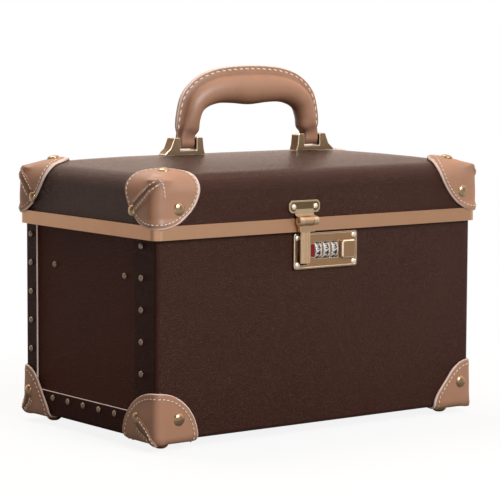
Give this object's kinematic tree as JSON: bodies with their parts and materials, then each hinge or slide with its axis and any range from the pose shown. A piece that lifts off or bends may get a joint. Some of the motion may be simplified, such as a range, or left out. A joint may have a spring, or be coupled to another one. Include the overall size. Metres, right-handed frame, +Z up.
{
  "type": "jewellery case",
  "caption": "Hard-sided jewellery case with a domed hinged lid, leather corners, swinging padded handle, hasp with combination lock and a lift-out tray.",
  "frame": {"origin": "under the middle of the whole case, on the surface the feet stand on", "axes": "+X to the right along the front, -Y towards the hasp and lock, +Z up"},
  "size_m": [0.3326, 0.2096, 0.2932],
  "materials": {
    "leatherette": "fine pebbled dark brown leatherette, semi-gloss",
    "corner_leather": "smooth vegetable-tanned tan leather with pale stitching",
    "handle_leather": "smooth tan leather over a padded core",
    "frame_leather": "smooth tan leather",
    "antique_brass": "antique brass plating, satin",
    "copper_trim": "brushed copper-bronze",
    "suede_lining": "short-nap suede cloth over board",
    "roll_velvet": "velvet over soft filling",
    "bright_steel": "zinc-plated steel",
    "silvered_dial": "silvered, satin",
    "mirror_glass": "silvered glass",
    "red_enamel": "red enamel"
  },
  "bodies": {
    "case": {"body_wrap": "leatherette", "end_panel_left": "leatherette", "end_panel_right": "leatherette", "body_lining": "suede_lining", "body_corner_front_left": "corner_leather", "body_corner_front_right": "corner_leather", "body_corner_rear_left": "corner_leather", "body_corner_rear_right": "corner_leather", "foot_front_left": "antique_brass", "foot_front_right": "antique_brass", "foot_rear_left": "antique_brass", "foot_rear_right": "antique_brass", "lock_plate": "antique_brass", "lock_index": "red_enamel", "lock_case": "bright_steel", "dial_axle": "bright_steel", "hinge_body_leaf_left": "antique_brass", "hinge_body_leaf_right": "antique_brass", "hinge_pin_left": "antique_brass", "hinge_pin_right": "antique_brass", "tray_rail_left": "suede_lining", "tray_rail_right": "suede_lining"},
    "lid": {"lid_shell": "leatherette", "lid_lining": "suede_lining", "lid_valance": "copper_trim", "lid_corner_front_left": "corner_leather", "lid_corner_front_right": "corner_leather", "lid_corner_rear_left": "corner_leather", "lid_corner_rear_right": "corner_leather", "mirror_frame": "frame_leather", "mirror": "mirror_glass", "handle_bracket_left": "antique_brass", "handle_bracket_right": "antique_brass", "handle_pin_left": "antique_brass", "handle_pin_right": "antique_brass", "hasp_plate": "antique_brass", "hasp_pin": "antique_brass", "hinge_lid_leaf_left": "antique_brass", "hinge_lid_leaf_right": "antique_brass"},
    "handle": {"handle_grip": "handle_leather"},
    "hasp": {"hasp_arm": "antique_brass"},
    "tray": {"tray": "suede_lining", "divider_roll": "suede_lining", "divider_long": "suede_lining", "divider_cross_front": "suede_lining", "divider_cross_rear": "suede_lining", "ring_roll_1": "roll_velvet", "ring_roll_2": "roll_velvet", "ring_roll_3": "roll_velvet", "ring_roll_4": "roll_velvet", "ring_roll_5": "roll_velvet"},
    "release": {"release_button": "antique_brass", "lock_bolt": "bright_steel"},
    "dial_1": {"dial_1": "silvered_dial"},
    "dial_2": {"dial_2": "silvered_dial"},
    "dial_3": {"dial_3": "silvered_dial"}
  },
  "joints": [
    {"name": "lid_hinge", "type": "hinge", "parent": "case", "child": "lid", "pos_m": [0, 0.10029, 0.1605], "axis": [-1, 0, 0], "range_deg": [0, 100]},
    {"name": "handle_swing", "type": "hinge", "parent": "lid", "child": "handle", "pos_m": [0, 0.00479, 0.2312], "axis": [1, 0, 0], "range_deg": [-90, 90]},
    {"name": "hasp_hinge", "type": "hinge", "parent": "lid", "child": "hasp", "pos_m": [-0.0205, -0.10121, 0.1728], "axis": [-1, 0, 0], "range_deg": [0, 165]},
    {"name": "tray_lift", "type": "slide", "parent": "case", "child": "tray", "axis": [0, 0, 1], "range_m": [0, 0.034]},
    {"name": "release_slide", "type": "slide", "parent": "case", "child": "release", "axis": [1, 0, 0], "range_m": [0, 0.0024], "stiffness_N_per_m": 300, "springref_m": -0.003},
    {"name": "dial_1_turn", "type": "hinge", "parent": "case", "child": "dial_1", "pos_m": [-0.0048, -0.08841, 0.148], "axis": [1, 0, 0], "continuous": true},
    {"name": "dial_2_turn", "type": "hinge", "parent": "case", "child": "dial_2", "pos_m": [0.0036, -0.08841, 0.148], "axis": [1, 0, 0], "continuous": true},
    {"name": "dial_3_turn", "type": "hinge", "parent": "case", "child": "dial_3", "pos_m": [0.012, -0.08841, 0.148], "axis": [1, 0, 0], "continuous": true}
  ]
}
